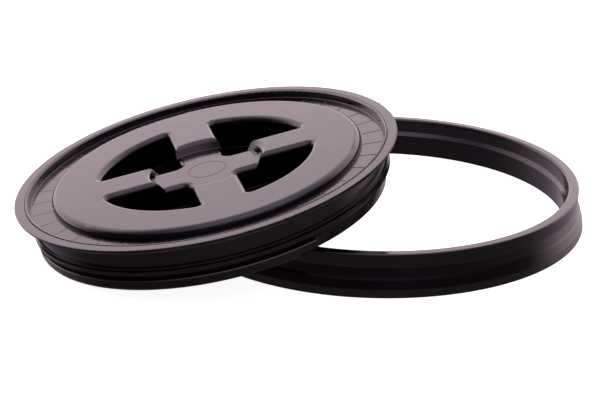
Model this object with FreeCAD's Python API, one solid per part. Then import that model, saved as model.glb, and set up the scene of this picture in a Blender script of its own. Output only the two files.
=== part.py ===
import FreeCAD, Part
import math
import os

# Two-piece screw lid for a 12 inch bucket: a push-on adapter ring with the lid leaning on it.
# Millimetres, +Z up, table at Z = 0, +X from the lid's centre towards the ring's centre.
# The origin is under the middle of the pair.  Profiles are (radius, height) pairs.

V = FreeCAD.Vector
os.makedirs("parts", exist_ok=True)

# ---- adapter ring ----
RING_X = 60.13              # ring axis, +X of the origin
RING_HEIGHT = 30.7
RING_TOP_R = 151.7          # outer edge of the top face
RING_BASE_R = 156.0         # outer edge at the table, 312 mm across
MOUTH_TOP_R = 143.3         # inner edge of the top face, before rounding
MOUTH_ROUND = 2.3
SEAT_Z = 20.2               # top of the sloping seat for the lid's gasket
SEAT_R = 143.2              # where the seat meets the recess wall
SEAT_DROP = 3.4             # height of the seat
SLEEVE_R = 140.3            # foot of the seat, the narrowest part of the opening
SLEEVE_BASE_R = 142.1
SHELL = 2.3                 # moulded wall
CATCH_SPAN = 14.0           # degrees, each of the ring's two catches
CATCH_R = 129.0             # tip of a catch
CATCH_ANGLES = (74.65, 254.65)

# ---- lid, in its own frame: origin at the centre of the flange's top face ----
LID_CENTRE = (-77.37, 0.0, 61.2)
LID_LEAN = (-0.1965, 0.0225)    # X and Y of the lid's unit axis
LID_TURN = -7.35                # degrees, direction of one arm of the cross
FLANGE_R = 142.0
FLANGE_IN_R = 132.5
BEAD_R = 133.9              # narrow bead at the flange's inner edge, a groove outside it
GROOVE_WIDTH = 1.2
FLANGE_LIP = 1.2            # rounding of the flange's inner edge
FLANGE_T = 1.5
WALL_R = 132.4              # plain band under the flange
NECK_R = 136.2              # where the band flares out to meet the flange
RIB_R = 132.7
GROOVE_R = 129.9
SKIRT_R = 127.8
SKIRT_DEPTH = 35.6
GUTTER_DEPTH = 5.5
GUTTER_R = 131.0            # foot of the gutter's outer wall
DECK_R = 115.2
DECK_ROUND = 5.0
PLATE = 2.4
HUB_TOP_R = 42.6            # dish at the middle of the cross
HUB_FOOT_R = 38.8
HUB_DEPTH = 6.9
HUB_ROUND = 4.6             # rounding of the dish's rim
HUB_FOOT_ROUND = 0.8
EMBLEM_R = 14.0             # blank ring line at the middle of the hub
ARM_WIDTH = 34.0            # arms of the cross handle
POCKET_R = 78.8
POCKET_DEPTH = 24.0
POCKET_ROUND = 6.0          # corner by the hub
POCKET_TIP_ROUND = 3.0      # corners by the outer arc
LIP_ROUND = 4.4             # rounding of the pocket mouths
LUG_R = 131.6
LUG_SPAN = 120.0            # degrees, each of the lid's two thread lugs
LUG_END = -67.5             # degrees, blunt end of the first lug from the cross's arm
LUG_TOP = 28.5              # depth of a lug's top at its blunt end
LUG_RAMP = 48.0             # length of the ramp at a lug's entry end
LUG_LEAD_IN = 3.2           # how far the ramp drops
FACETS = 36                 # shallow saw-tooth facets round the gutter floor
FACET_DROP = 0.12
TICK_DEPTH = 0.3            # fine groove between facets
TICK_WIDTH = 0.9

# ---- gaskets ----
LID_GASKET_GAP = 0.35
LID_GASKET_R = 140.6


def revolved(points, degrees=360.0, start=0.0):
    """Solid swept about Z by a closed (radius, height) outline."""
    wire = Part.makePolygon([V(r, 0, z) for r, z in points + points[:1]])
    solid = Part.Face(wire).revolve(V(0, 0, 0), V(0, 0, 1), degrees)
    solid.rotate(V(0, 0, 0), V(0, 0, 1), start)
    return solid


def circle_edges(shape, radius, height, tol=0.02):
    """Full circles about Z of one radius and height."""
    found = []
    for edge in shape.Edges:
        curve = edge.Curve
        if isinstance(curve, Part.Circle) and abs(curve.Radius - radius) < tol:
            if abs(curve.Center.z - height) < tol and math.hypot(curve.Center.x, curve.Center.y) < tol:
                found.append(edge)
    return found


def rounded(shape, radius, rings):
    """Round the circular edges named by (radius, height)."""
    edges = [edge for r, z in rings for edge in circle_edges(shape, r, z)]
    return shape.makeFillet(radius, edges)


def place_lid(shape):
    """Move a shape from the lid's frame to where the lid leans."""
    lean_x, lean_y = LID_LEAN
    axis = V(lean_x, lean_y, math.sqrt(1 - lean_x ** 2 - lean_y ** 2))
    tilt = FreeCAD.Rotation(V(0, 0, 1), axis)
    turn = FreeCAD.Rotation(V(0, 0, 1), LID_TURN)
    shape.Placement = FreeCAD.Placement(V(*LID_CENTRE), tilt * turn)
    return shape


def save(name, shape):
    """Check that a node is one valid solid and write it."""
    solid = shape.removeSplitter()
    if len(solid.Solids) == 1:
        solid = solid.Solids[0]
    print(name, "solids", len(solid.Solids), "valid", solid.isValid(), "cm3", round(solid.Volume / 1000, 2))
    solid.exportStep("parts/%s.step" % name)


def adapter_ring():
    """Ring pushed onto the bucket's rim, with a seat for the lid and two catches for its lugs."""
    top = RING_HEIGHT
    outline = [
        (MOUTH_TOP_R, top), (RING_TOP_R, top),                       # top face
        (151.1, 21.0), (152.6, 14.0),                                # upright upper band
        (153.5, 12.0), (155.2, 6.0),                                 # flared band
        (RING_BASE_R, 0.0), (153.8, 0.0),                            # foot band
        (152.2, 3.4), (152.2, 4.4), (152.9, 6.2),                    # bead that locks under the rim
        (151.0, 12.2), (148.8, 21.2), (149.1, 27.9),                 # channel for the bucket's rim
        (146.9, 27.9), (145.6, 19.4), (142.5, 16.2), (142.3, 14.2),
        (SLEEVE_BASE_R + SHELL, 0.0), (SLEEVE_BASE_R, 0.0),          # sleeve inside the bucket's mouth
        (SLEEVE_R, SEAT_Z - SEAT_DROP), (SEAT_R, SEAT_Z),            # seat
    ]
    ring = revolved(outline)
    ring = rounded(ring, MOUTH_ROUND, [(MOUTH_TOP_R, top)])
    ring = rounded(ring, 1.2, [(RING_TOP_R, top)])
    ring = rounded(ring, 1.6, [(SLEEVE_R, SEAT_Z - SEAT_DROP)])
    ring = rounded(ring, 4.0, [(151.1, 21.0)])
    ring = rounded(ring, 0.6, [(152.6, 14.0), (153.5, 12.0), (155.2, 6.0)])
    ring = rounded(ring, 0.7, [(RING_BASE_R, 0.0), (SLEEVE_BASE_R, 0.0), (SEAT_R, SEAT_Z)])
    catch = [(143.4, 0.3), (CATCH_R, 0.3), (CATCH_R, 1.6), (132.4, 2.2), (141.6, 10.0), (142.6, 10.0)]
    for angle in CATCH_ANGLES:
        ring = ring.fuse(revolved(catch, CATCH_SPAN, angle - CATCH_SPAN / 2))
    ring.translate(V(RING_X, 0, 0))
    return ring


def bucket_gasket():
    """Rubber ring at the top of the ring's rim channel, sealing on the bucket's rim."""
    outline = [
        (143.0, 15.2), (144.9, 15.2), (145.5, 16.3), (147.1, 16.3), (147.7, 15.2), (149.3, 15.2),
        (148.4, 19.3), (148.6, 22.4), (146.5, 22.4), (146.0, 19.2), (143.0, 16.1),
    ]
    gasket = revolved(outline)
    gasket = rounded(gasket, 0.5, [(149.3, 15.2), (148.6, 22.4)])
    gasket.translate(V(RING_X, 0, 0))
    return gasket


def lid_gasket():
    """Rubber ring round the lid's neck, under the flange."""
    inner = NECK_R + LID_GASKET_GAP
    top = -FLANGE_T - LID_GASKET_GAP
    outline = [
        (inner, top), (LID_GASKET_R, top), (LID_GASKET_R, top - 0.8), (LID_GASKET_R - 1.2, top - 2.1),
        (inner + 0.8, top - 2.1), (inner, top - 1.3),
    ]
    gasket = revolved(outline)
    gasket = rounded(gasket, 0.35, [(LID_GASKET_R, top), (LID_GASKET_R - 1.2, top - 2.1)])
    return place_lid(gasket)


def pocket_prism(grow, depth):
    """Quadrant prism between two arms, down to a depth, with its upright corners rounded."""
    side = ARM_WIDTH / 2 - grow
    outer = POCKET_R + grow
    reach = math.sqrt(outer ** 2 - side ** 2)
    middle = outer / math.sqrt(2)
    corner, tip_x, tip_y = V(side, side, 0), V(reach, side, 0), V(side, reach, 0)
    wire = Part.Wire([
        Part.makeLine(corner, tip_x),
        Part.Arc(tip_x, V(middle, middle, 0), tip_y).toShape(),
        Part.makeLine(tip_y, corner),
    ])
    prism = Part.Face(wire).extrude(V(0, 0, -depth))
    for radius, near_hub in ((POCKET_ROUND + grow, True), (POCKET_TIP_ROUND + grow, False)):
        upright = [e for e in prism.Edges if abs(e.BoundBox.ZLength - depth) < 0.01
                   and abs(e.BoundBox.XLength) < 0.01
                   and (math.hypot(e.CenterOfMass.x, e.CenterOfMass.y) < 40) == near_hub]
        prism = prism.makeFillet(radius, upright)
    return prism


def turned(shape, degrees):
    """Copy of a shape turned about Z."""
    copy = shape.copy()
    copy.rotate(V(0, 0, 0), V(0, 0, 1), degrees)
    return copy


def lid_shell():
    """Hub, deck, gutter, flange and threaded skirt as one turned moulding."""
    floor = -GUTTER_DEPTH
    hub = -HUB_DEPTH
    outline = [
        (0.0, 0.0), (DECK_R, 0.0),                                           # hub and deck
        (DECK_R, floor), (GUTTER_R, floor),                                  # gutter
        (FLANGE_IN_R, 0.0), (BEAD_R, 0.0), (BEAD_R, -0.7), (BEAD_R + 0.3, -0.7),
        (BEAD_R + GROOVE_WIDTH, 0.0), (FLANGE_R, 0.0),                       # flange
        (FLANGE_R - 0.3, -FLANGE_T), (NECK_R, -FLANGE_T),
        (WALL_R, -7.0), (WALL_R, -12.6), (GROOVE_R, -13.0),                  # plain band, groove
        (GROOVE_R, -18.9), (131.7, -19.1), (131.7, -19.7),                   # thin line above the rib
        (131.0, -20.0), (131.0, -20.7), (RIB_R, -21.1), (RIB_R, -23.6),      # rib
        (GROOVE_R, -24.1), (129.6, -26.0), (SKIRT_R, -28.2),                 # second groove
        (SKIRT_R, -SKIRT_DEPTH), (SKIRT_R - 2.2, -SKIRT_DEPTH),              # skirt
        (125.9, -26.6), (127.5, -23.6), (127.7, -13.4), (WALL_R - PLATE, -11.4),
        (WALL_R - PLATE, floor - PLATE), (DECK_R - PLATE, floor - PLATE),
        (DECK_R - PLATE, -PLATE), (HUB_TOP_R + HUB_ROUND, -PLATE),
        (HUB_FOOT_R + 2.0, hub - PLATE), (0.0, hub - PLATE),
    ]
    return revolved(outline)


def lug(end_angle):
    """Thread lug on the skirt: blunt at one end, its top ramping down to the entry end."""
    top = -LUG_TOP
    outline = [
        (SKIRT_R - 1.0, top), (LUG_R - 0.5, top), (LUG_R, top - 0.5), (LUG_R - 0.2, top - 5.6),
        (130.4, -SKIRT_DEPTH), (SKIRT_R - 1.0, -SKIRT_DEPTH),
    ]
    piece = revolved(outline, LUG_SPAN, 0.0)
    ramp = Part.makePolygon([
        V(SKIRT_R + 0.3, LUG_RAMP, top), V(SKIRT_R + 0.3, LUG_RAMP, 0), V(SKIRT_R + 0.3, -10, 0),
        V(SKIRT_R + 0.3, -10, top - LUG_LEAD_IN * (1 + 10 / LUG_RAMP)), V(SKIRT_R + 0.3, LUG_RAMP, top)])
    across = Part.Face(ramp).extrude(V(20, 0, 0))
    across.translate(V(-20, 0, 0))
    piece = piece.cut(across)
    piece.rotate(V(0, 0, 0), V(0, 0, 1), end_angle - LUG_SPAN)
    return piece


def gutter_facets():
    """Thin wedges that leave the gutter floor in shallow saw-tooth facets with a fine groove between them."""
    step = 360.0 / FACETS
    half = math.radians(step / 2)
    top = -GUTTER_DEPTH + 0.1
    wedges = []
    for index in range(FACETS):
        wires = []
        for radius in (DECK_R, GUTTER_R - 1.2):
            across = radius * math.tan(half)
            outline = [
                (-across, top), (across, top), (across, -GUTTER_DEPTH),
                (across - TICK_WIDTH / 2, -GUTTER_DEPTH - TICK_DEPTH),
                (across - TICK_WIDTH, -GUTTER_DEPTH - FACET_DROP), (-across, -GUTTER_DEPTH - 0.02),
            ]
            wires.append(Part.makePolygon([V(radius, y, z) for y, z in outline + outline[:1]]))
        wedge = Part.makeLoft(wires, True, True)
        wedges.append(turned(wedge, index * step + 2.0 + step / 2))
    return wedges


def pocket_void(level):
    """Space of one pocket below a level, its mouth flared by the rounding of the pocket's lip."""
    cavity = pocket_prism(0.0, POCKET_DEPTH)
    cavity = cavity.makeFillet(3.0, [e for e in cavity.Edges if e.BoundBox.ZMax < -POCKET_DEPTH + 0.01])
    block = Part.makeBox(90, 90, 40, V(2, 2, level - 40))
    around = block.cut(cavity)
    mouth = [e for e in around.Edges if e.BoundBox.ZMin > level - 0.01
             and 10 < e.CenterOfMass.x < 85 and 10 < e.CenterOfMass.y < 85]
    return block.cut(around.makeFillet(LIP_ROUND, mouth))


def hub_dish():
    """Shallow round dish pressed into the middle of the cross, with rounded rim and foot."""
    rim = 20.0
    dish = revolved([(0.0, rim), (0.0, -HUB_DEPTH), (HUB_FOOT_R, -HUB_DEPTH), (HUB_TOP_R, 0.0),
                     (HUB_TOP_R + rim, 0.0), (HUB_TOP_R + rim, rim)])
    dish = rounded(dish, HUB_FOOT_ROUND, [(HUB_FOOT_R, -HUB_DEPTH)])
    return rounded(dish, HUB_ROUND, [(HUB_TOP_R, 0.0)])


def lid():
    """Whole lid in its own frame."""
    quarters = (0, 90, 180, 270)
    cup = pocket_prism(SHELL, POCKET_DEPTH + PLATE)
    cup = cup.makeFillet(3.0, [e for e in cup.Edges if e.BoundBox.ZMax < -POCKET_DEPTH - PLATE + 0.01])
    hub_floor = Part.makeCylinder(HUB_FOOT_R - 0.4, 40, V(0, 0, -40))
    deck_void = pocket_void(0.0)
    hub_void = pocket_void(-HUB_DEPTH).common(hub_floor)

    body = rounded(lid_shell(), DECK_ROUND, [(DECK_R, 0.0)])
    body = rounded(body, 0.6, [(FLANGE_R, 0.0)])
    body = rounded(body, FLANGE_LIP, [(FLANGE_IN_R, 0.0)])
    body = rounded(body, 0.5, [(GUTTER_R, -GUTTER_DEPTH)])
    body = body.fuse([turned(cup, q) for q in quarters]).cut(hub_dish())
    body = body.cut([turned(void, q) for q in quarters for void in (deck_void, hub_void)])
    body = body.fuse([lug(LUG_END), lug(LUG_END + 180.0)])
    body = body.cut(gutter_facets())
    groove = Part.makeTorus(EMBLEM_R, 0.35, V(0, 0, -HUB_DEPTH))
    return body.cut(groove)


if __name__ == "__main__":
    save("adapter_ring", adapter_ring())
    save("bucket_gasket", bucket_gasket())
    save("lid_gasket", lid_gasket())
    save("lid", place_lid(lid()))
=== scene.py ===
import math

import bpy
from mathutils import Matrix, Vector


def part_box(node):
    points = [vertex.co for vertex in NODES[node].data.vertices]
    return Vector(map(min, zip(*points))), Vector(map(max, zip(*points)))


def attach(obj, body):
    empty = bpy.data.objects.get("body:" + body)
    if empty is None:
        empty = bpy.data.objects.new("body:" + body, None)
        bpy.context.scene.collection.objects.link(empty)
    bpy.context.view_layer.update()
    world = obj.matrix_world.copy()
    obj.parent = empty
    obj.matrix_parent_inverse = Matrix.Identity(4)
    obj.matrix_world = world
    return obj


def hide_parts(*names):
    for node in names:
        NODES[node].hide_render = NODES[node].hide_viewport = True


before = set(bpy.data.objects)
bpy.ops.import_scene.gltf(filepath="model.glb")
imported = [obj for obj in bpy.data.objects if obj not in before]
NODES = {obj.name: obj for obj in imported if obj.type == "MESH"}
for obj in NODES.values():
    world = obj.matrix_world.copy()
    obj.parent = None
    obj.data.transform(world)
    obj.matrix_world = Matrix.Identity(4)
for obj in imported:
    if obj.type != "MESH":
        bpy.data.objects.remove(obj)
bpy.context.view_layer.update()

scene = bpy.context.scene

# ---- camera, in metres and radians, with the lens in millimetres ----
AZIMUTH, ELEVATION = math.radians(-20.35), math.radians(21.03)
TARGET = Vector((0.01502, 0.05003, 0.0))
DISTANCE = 1.26646
SENSOR_WIDTH, FOCAL_LENGTH = 36.0, 96.38
CLIP_START, CLIP_END = 0.05, 100.0


def camera():
    """The photograph's viewing angle."""
    back = Vector((math.sin(AZIMUTH) * math.cos(ELEVATION),
                   -math.cos(AZIMUTH) * math.cos(ELEVATION), math.sin(ELEVATION)))
    data = bpy.data.cameras.new("camera")
    data.sensor_width = SENSOR_WIDTH
    data.lens = FOCAL_LENGTH
    data.clip_start = CLIP_START
    data.clip_end = CLIP_END
    cam = bpy.data.objects.new("camera", data)
    scene.collection.objects.link(cam)
    cam.rotation_mode = "QUATERNION"
    cam.rotation_quaternion = back.to_track_quat("Z", "Y")
    cam.location = TARGET + back * DISTANCE
    scene.camera = cam


# ---- node helpers ----
class Tree:
    """Thin helper for building a node tree."""

    def __init__(self, tree):
        self.tree = tree
        self.tree.nodes.clear()

    def node(self, kind, **settings):
        """A new node. A setting named like an input sets that input, any other the node."""
        made = self.tree.nodes.new(kind)
        for key, value in settings.items():
            if key in made.inputs:
                made.inputs[key].default_value = value
            else:
                setattr(made, key, value)
        return made

    def link(self, source, target):
        self.tree.links.new(source, target)

    def ramp(self, source, stops):
        """A colour from a value. Each stop is a place from 0 to 1 and a colour."""
        made = self.node("ShaderNodeValToRGB")
        elements = made.color_ramp.elements
        while len(elements) < len(stops):
            elements.new(0.5)
        for element, (place, colour) in zip(elements, stops):
            element.position = place
            element.color = (*colour, 1.0)
        self.link(source, made.inputs["Fac"])
        return made.outputs["Color"]

    def calc(self, operation, a, b):
        """Arithmetic on two values, each an output or a number."""
        made = self.node("ShaderNodeMath", operation=operation)
        for index, value in enumerate((a, b)):
            if isinstance(value, (int, float)):
                made.inputs[index].default_value = value
            else:
                self.link(value, made.inputs[index])
        return made.outputs["Value"]

    def vector(self, operation, source, fixed=None):
        """A vector operation on an output and, where it takes two, a fixed vector."""
        made = self.node("ShaderNodeVectorMath", operation=operation)
        self.link(source, made.inputs[0])
        if fixed is not None:
            made.inputs[1].default_value = fixed
        return made

    def mix(self, factor, first, second):
        """Blend from a colour output to another one, or to a fixed colour."""
        made = self.node("ShaderNodeMix", data_type="RGBA")
        self.link(factor, made.inputs[0])
        self.link(first, made.inputs[6])
        if isinstance(second, tuple):
            made.inputs[7].default_value = (*second, 1.0)
        else:
            self.link(second, made.inputs[7])
        return made.outputs[2]

    def map_range(self, source, start, end, to=(0.0, 1.0), kind="SMOOTHSTEP"):
        """Carry the range start..end over to the range to, held at its ends."""
        made = self.node("ShaderNodeMapRange", interpolation_type=kind)
        limits = (("From Min", start), ("From Max", end), ("To Min", to[0]), ("To Max", to[1]))
        for key, value in limits:
            made.inputs[key].default_value = value
        self.link(source, made.inputs["Value"])
        return made.outputs["Result"]


# ---- studio: light that depends only on its direction ----
WORLD_STRENGTH = 2.0                        # the levels below go into the nodes divided by this
BACKDROP = Vector((0.348, 0.938, 0.0))      # the bright backdrop stands on this side
BACKDROP_EDGE = (-0.12, 0.55)               # cosine of the angle to it, from unlit to fully lit
BACK_TINT = (1.0, 0.805, 0.885)
FRONT_TINT = (0.97, 0.72, 1.0)
LOW_TINT = (0.98, 0.76, 0.92)               # on both sides, below LOW_HEIGHT
LOW_HEIGHT = -0.1
# brightness by height (sine of the elevation) on the backdrop's side and on the other side
BACK_LIGHT = [(-1.0, 0.2), (-0.62, 0.22), (-0.35, 0.5), (-0.05, 1.6), (0.05, 2.05),
              (0.66, 2.1), (0.8, 1.8), (0.93, 1.5), (1.0, 1.3)]
FRONT_LIGHT = [(-1.0, 0.06), (-0.62, 0.1), (-0.4, 0.2), (-0.3, 0.22), (-0.12, 0.2),
               (0.02, 0.03), (0.2, 0.05), (0.42, 0.09), (0.6, 0.3), (0.8, 0.6),
               (0.92, 0.95), (1.0, 1.3)]
SIDE_PANEL = Vector((0.075, -0.762, 0.643))  # a softer panel, above the front right
SIDE_EDGE = (0.45, 0.85)                    # cosine of the angle to it, from unlit to fully lit
SIDE_HEIGHTS = (0.38, 0.72)                 # it also fades in over these heights
SIDE_LEVEL = 0.65
SIDE_TINT = (1.0, 0.8, 0.95)

FLOOR_REACH = 8.0                           # metres from the middle to each side
FLOOR_DROP = 0.0003                         # how far the floor lies below the part
FLOOR_COLOUR = (0.92, 0.92, 0.92, 1)
FLOOR_ROUGHNESS = 0.9
FLOOR_GLOW = 0.93


def studio():
    """The world: two sides that change with height, and the side panel on top of them."""
    world = bpy.data.worlds.new("studio")
    scene.world = world
    world.use_nodes = True
    t = Tree(world.node_tree)
    direction = t.node("ShaderNodeTexCoord").outputs["Generated"]
    split = t.node("ShaderNodeSeparateXYZ")
    t.link(direction, split.inputs[0])
    height = t.map_range(split.outputs["Z"], -1.0, 1.0, kind="LINEAR")
    shades = []
    for stops, tint in ((FRONT_LIGHT, FRONT_TINT), (BACK_LIGHT, BACK_TINT)):
        colours = []
        for z, level in stops:
            shown = LOW_TINT if z < LOW_HEIGHT else tint
            colours.append(((z + 1) / 2, tuple(level * c / WORLD_STRENGTH for c in shown)))
        shades.append(t.ramp(height, colours))
    side = t.map_range(t.vector("DOT_PRODUCT", direction, BACKDROP).outputs["Value"],
                       *BACKDROP_EDGE)
    sides = t.mix(side, shades[0], shades[1])
    spot = t.map_range(t.vector("DOT_PRODUCT", direction, SIDE_PANEL).outputs["Value"],
                       *SIDE_EDGE, to=(0.0, SIDE_LEVEL / WORLD_STRENGTH))
    panel = t.calc("MULTIPLY", spot, t.map_range(split.outputs["Z"], *SIDE_HEIGHTS))
    total = t.vector("MULTIPLY_ADD", panel, SIDE_TINT)
    t.link(sides, total.inputs[2])
    shade = t.node("ShaderNodeBackground", Strength=WORLD_STRENGTH)
    t.link(total.outputs["Vector"], shade.inputs["Color"])
    out = t.node("ShaderNodeOutputWorld")
    t.link(shade.outputs[0], out.inputs["Surface"])


def floor():
    """A plain pale floor that glows a little and stays out of reflections."""
    mesh = bpy.data.meshes.new("floor")
    corners = [(x * FLOOR_REACH, y * FLOOR_REACH, 0)
               for x, y in ((-1, -1), (1, -1), (1, 1), (-1, 1))]
    mesh.from_pydata(corners, [], [(0, 1, 2, 3)])
    obj = bpy.data.objects.new("floor", mesh)
    scene.collection.objects.link(obj)
    obj.location.z = -FLOOR_DROP
    obj.visible_glossy = False
    mat = bpy.data.materials.new("floor")
    mat.use_nodes = True
    t = Tree(mat.node_tree)
    shader = t.node("ShaderNodeBsdfPrincipled", Roughness=FLOOR_ROUGHNESS)
    shader.inputs["Base Color"].default_value = FLOOR_COLOUR
    shader.inputs["Emission Color"].default_value = (1.0, 1.0, 1.0, 1)
    shader.inputs["Emission Strength"].default_value = FLOOR_GLOW
    out = t.node("ShaderNodeOutputMaterial")
    t.link(shader.outputs[0], out.inputs["Surface"])
    mesh.materials.append(mat)


# ---- materials: lengths in metres, noise as (scale, detail) ----
PLASTIC_IOR = 1.52
BROAD, SMUDGE, MOTTLE, FINE = (14.0, 3.0), (38.0, 5.0), (120.0, 4.0), (900.0, 3.0)
NOISE_SPAN = (0.35, 0.7)                    # the part of a noise's range that the gloss uses
CLOUDS = ((0.3, 0.7), (0.5, 1.0), (0.72, 1.6))  # noise value and the colour's factor there

RUB_REACH, RUB_SAMPLES = 0.0016, 3          # how near an edge counts as rubbed
RUB_SHADE = (0.98, 0.55)                    # occlusion from inside, from flat to a sharp edge
RUB_PATCHES = (0.42, 0.62)                  # smudge noise where the rubbing sets in
RUB_MOST = 0.55
RUB_GAIN, RUB_LIFT = 2.4, 0.0035            # rubbed colour = colour * gain + lift

DUST_CELLS = 150.0                          # Voronoi scale
DUST_CHOSEN = (0.955, 0.96)                 # only cells with a random value above this
DUST_RADIUS = (0.045, 0.02)                 # from a cell's middle: the speck's rim and its full part
DUST_MOST = 0.5
DUST_COLOUR = (0.22, 0.2, 0.2)

SMUDGE_ROUGH = (-0.02, 0.05)                # what each adds to the roughness
MOTTLE_ROUGH = (-0.01, 0.02)
RUB_ROUGH = 0.08

POCKET_DEPTHS = (-0.0085, -0.0125)          # along the lid's axis: the extra roughness and painted shade start, are full
POCKET_REACH = (0.1, 0.094)                 # from the lid's centre: the same
POCKET_ROUGH = 0.16
POCKET_SHADE_SPECULAR = (0.5, 0.04)               # specular level outside the pockets and in them; the drop inside is painted shade

GRAIN_DEPTH = 0.0002
SLOW_STRENGTH, SLOW_DEPTH = 0.2, 0.002      # the moulding's slow unevenness


def plastic(name, base, roughness, grain, hollow=None):
    """Moulded material: cloudy colour, handled gloss, fine grain, rubbed edges, a little dust.

    hollow is (centre, axis) of the lid; the deep pockets round that axis are left rougher, and their
    reflections are turned down there as painted shade.
    """
    mat = bpy.data.materials.new(name)
    mat.use_nodes = True
    t = Tree(mat.node_tree)
    place = t.node("ShaderNodeTexCoord").outputs["Object"]

    def noise(scale, detail):
        made = t.node("ShaderNodeTexNoise", Scale=scale, Detail=detail)
        t.link(place, made.inputs["Vector"])
        return made.outputs["Fac"]

    broad, smudge, mottle, fine = (noise(*kind) for kind in (BROAD, SMUDGE, MOTTLE, FINE))
    rubbed = rubbed_edges(t, smudge)
    cloudy = t.ramp(broad, [(at, tuple(factor * c for c in base)) for at, factor in CLOUDS])
    worn = t.mix(rubbed, cloudy, tuple(RUB_GAIN * c + RUB_LIFT for c in base))
    colour = t.mix(dust(t, place), worn, DUST_COLOUR)

    low, high = (roughness + change for change in SMUDGE_ROUGH)
    rough = t.map_range(smudge, *NOISE_SPAN, to=(low, high))
    rough = t.calc("ADD", rough, t.map_range(mottle, *NOISE_SPAN, to=MOTTLE_ROUGH))
    rough = t.calc("ADD", rough, t.calc("MULTIPLY", rubbed, RUB_ROUGH))

    shader = t.node("ShaderNodeBsdfPrincipled", IOR=PLASTIC_IOR)
    if hollow:
        pocket_dull_and_shade = pocket_dull_and_shade_mask(t, place, *hollow)
        rough = t.calc("ADD", rough, t.calc("MULTIPLY", pocket_dull_and_shade, POCKET_ROUGH))
        # painted shade: inside the pockets the specular level drops, so their walls reflect almost
        # nothing and read dark
        specular = t.map_range(pocket_dull_and_shade, 0.0, 1.0, to=POCKET_SHADE_SPECULAR, kind="LINEAR")
        t.link(specular, shader.inputs["Specular IOR Level"])
    t.link(colour, shader.inputs["Base Color"])
    t.link(rough, shader.inputs["Roughness"])
    t.link(uneven(t, fine, broad, grain), shader.inputs["Normal"])
    out = t.node("ShaderNodeOutputMaterial")
    t.link(shader.outputs[0], out.inputs["Surface"])
    return mat


def rubbed_edges(t, smudge):
    """How rubbed the surface is: outer edges, in patches."""
    edge = t.node("ShaderNodeAmbientOcclusion", samples=RUB_SAMPLES, inside=True,
                  only_local=True, Distance=RUB_REACH)
    near_edge = t.map_range(edge.outputs["AO"], *RUB_SHADE)
    return t.calc("MULTIPLY", near_edge, t.map_range(smudge, *RUB_PATCHES, to=(0.0, RUB_MOST)))


def dust(t, place):
    """A few tiny pale specks."""
    cells = t.node("ShaderNodeTexVoronoi", Scale=DUST_CELLS)
    t.link(place, cells.inputs["Vector"])
    pick = t.node("ShaderNodeSeparateColor")
    t.link(cells.outputs["Color"], pick.inputs[0])
    chosen = t.map_range(pick.outputs["Red"], *DUST_CHOSEN, kind="LINEAR")
    speck = t.map_range(cells.outputs["Distance"], *DUST_RADIUS, to=(0.0, DUST_MOST))
    return t.calc("MULTIPLY", speck, chosen)


def pocket_dull_and_shade_mask(t, place, centre, axis):
    """1 inside the lid's pockets, by depth along its axis and distance from its centre: where they
    get more roughness and painted shade.
    """
    offset = t.vector("SUBTRACT", place, centre).outputs["Vector"]
    along = t.vector("DOT_PRODUCT", offset, axis).outputs["Value"]
    reach = t.vector("LENGTH", offset).outputs["Value"]
    return t.calc("MULTIPLY", t.map_range(along, *POCKET_DEPTHS),
                  t.map_range(reach, *POCKET_REACH))


def uneven(t, fine, broad, grain):
    """The surface's direction: fine grain over a slow unevenness of the moulding."""
    bump = t.node("ShaderNodeBump", Strength=grain, Distance=GRAIN_DEPTH)
    t.link(fine, bump.inputs["Height"])
    slow = t.node("ShaderNodeBump", Strength=SLOW_STRENGTH, Distance=SLOW_DEPTH)
    t.link(broad, slow.inputs["Height"])
    t.link(bump.outputs["Normal"], slow.inputs["Normal"])
    return slow.outputs["Normal"]


# ---- adapter ring, in millimetres and degrees: the CAD's own outline, rounded more finely ----
SECTORS = 360
RING_HEIGHT = 30.7
# radius, height, rounding of that corner
RING_OUTLINE = [
    # top face, and down the outside to the foot
    (143.3, 30.7, 2.3), (151.7, 30.7, 1.2), (151.1, 21.0, 4.0), (152.6, 14.0, 0.6),
    (153.5, 12.0, 0.6), (155.2, 6.0, 0.6), (156.0, 0.0, 0.7),
    # bead inside the foot
    (153.8, 0.0, 0), (152.2, 3.4, 0), (152.2, 4.4, 0), (152.9, 6.2, 0),
    # rim channel
    (151.0, 12.2, 0), (148.8, 21.2, 0), (149.1, 27.9, 0), (146.9, 27.9, 0),
    (145.6, 19.4, 0), (142.5, 16.2, 0), (142.3, 14.2, 0), (144.4, 0.0, 0),
    # sleeve and seat
    (142.1, 0.0, 0.7), (140.3, 16.8, 1.6), (143.2, 20.2, 0.7),
]
CATCH_OUTLINE = [(143.4, 0.3, 0), (129.0, 0.3, 0), (129.0, 1.6, 0), (132.4, 2.2, 0),
                 (141.6, 10.0, 0), (142.6, 10.0, 0)]
CATCH_ANGLES = (74.65, 254.65)
CATCH_SPAN, CATCH_STEPS = 14.0, 14
ROUNDING_STEP = math.radians(8)             # the most that one segment of a rounding turns


def turned(vector, angle):
    """A flat vector turned by an angle."""
    return Vector((vector.x * math.cos(angle) - vector.y * math.sin(angle),
                   vector.x * math.sin(angle) + vector.y * math.cos(angle)))


def rounded_outline(corners):
    """Points of a closed clockwise outline, and each segment's surface direction at its ends."""
    runs = []
    for index, (radius, height, rounding) in enumerate(corners):
        corner = Vector((radius, height))
        before = (corner - Vector(corners[index - 1][:2])).normalized()
        after = (Vector(corners[(index + 1) % len(corners)][:2]) - corner).normalized()
        facing, leaving = Vector((-before.y, before.x)), Vector((-after.y, after.x))
        if rounding:
            turn = before.angle_signed(after)
            side = rounding if turn > 0 else -rounding
            centre = corner - before * rounding * math.tan(abs(turn) / 2) - facing * side
            steps = max(2, math.ceil(abs(turn) / ROUNDING_STEP))
            normals = [turned(facing, -turn * k / steps) for k in range(steps + 1)]
            runs.append(([centre + n * side for n in normals], normals, leaving))
        else:
            runs.append(([corner], [leaving], leaving))
    points, ends = [], []
    for run, normals, leaving in runs:
        points += run
        ends += list(zip(normals[:-1], normals[1:])) + [(leaving, leaving)]
    return points, ends


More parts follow.
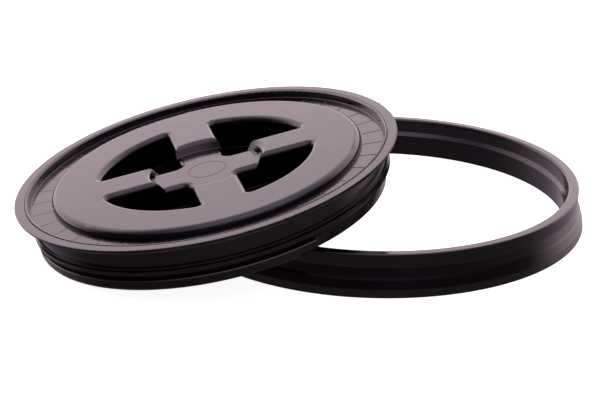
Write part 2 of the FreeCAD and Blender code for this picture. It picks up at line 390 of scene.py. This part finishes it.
def swept(corners, start, span, steps, verts, faces, normals):
    """Sweep an outline about Z, closed on itself for a full turn and capped otherwise."""
    points, ends = rounded_outline(corners)
    count, base = len(points), len(verts)
    whole = span >= 360.0
    columns = steps if whole else steps + 1
    angles = [math.radians(start + span * j / steps) for j in range(columns)]
    for angle in angles:
        verts += [(p.x * math.cos(angle), p.x * math.sin(angle), p.y) for p in points]
    for j in range(steps):
        k = (j + 1) % columns
        here, there = base + j * count, base + k * count
        for i in range(count):
            n = (i + 1) % count
            faces.append((here + i, here + n, there + n, there + i))
            first, last = ends[i]
            for flat, angle in ((first, angles[j]), (last, angles[j]),
                                (last, angles[k]), (first, angles[k])):
                normals.append((flat.x * math.cos(angle), flat.x * math.sin(angle), flat.y))
    if not whole:
        last = base + steps * count
        for loop, angle, way in ((range(base + count - 1, base - 1, -1), angles[0], -1),
                                 (range(last, last + count), angles[-1], 1)):
            faces.append(tuple(loop))
            normals += [(-way * math.sin(angle), way * math.cos(angle), 0.0)] * count


def ring(mat):
    """The ring and its two catches as one moulding, in the place of the CAD's ring."""
    low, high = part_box("adapter_ring")
    scale = (high[2] - low[2]) / RING_HEIGHT
    middle = ((low[0] + high[0]) / 2, (low[1] + high[1]) / 2, low[2])
    verts, faces, normals = [], [], []
    swept(RING_OUTLINE, 0.0, 360.0, SECTORS, verts, faces, normals)
    for angle in CATCH_ANGLES:
        swept(CATCH_OUTLINE, angle - CATCH_SPAN / 2, CATCH_SPAN, CATCH_STEPS,
              verts, faces, normals)
    mesh = bpy.data.meshes.new("adapter_ring_moulding")
    mesh.from_pydata([[m + c * scale for m, c in zip(middle, v)] for v in verts], [], faces)
    mesh.shade_smooth()
    mesh.normals_split_custom_set(normals)
    mesh.materials.append(mat)
    obj = bpy.data.objects.new("adapter_ring_moulding", mesh)
    scene.collection.objects.link(obj)
    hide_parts("adapter_ring")
    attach(obj, "ring")


def paint(node, mat):
    """Give a CAD node its material."""
    for slot in NODES[node].material_slots:
        slot.material = mat


# ---- the pieces ----
BLACK, GLOSS, GRAIN = (0.0014, 0.0010, 0.0015), 0.14, 0.04
RUBBER_GRAIN = 0.3
LEAN_X, LEAN_Y = -0.1965, 0.0225            # the lid's axis leans by these, as in the CAD
LID_AXIS = (LEAN_X, LEAN_Y, math.sqrt(1 - LEAN_X ** 2 - LEAN_Y ** 2))
LID_CENTRE = (-0.07737, 0.0, 0.0612)

camera()
studio()
floor()
ring(plastic("ring_black_plastic", BLACK, GLOSS, GRAIN))
paint("lid", plastic("lid_black_plastic", BLACK, GLOSS, GRAIN, (LID_CENTRE, LID_AXIS)))
paint("bucket_gasket",
      plastic("bucket_gasket_rubber", (0.008, 0.007, 0.008), 0.62, RUBBER_GRAIN))
paint("lid_gasket", plastic("lid_gasket_rubber", (0.007, 0.006, 0.007), 0.58, RUBBER_GRAIN))

scene.view_settings.view_transform = "Standard"
scene.view_settings.look = "None"
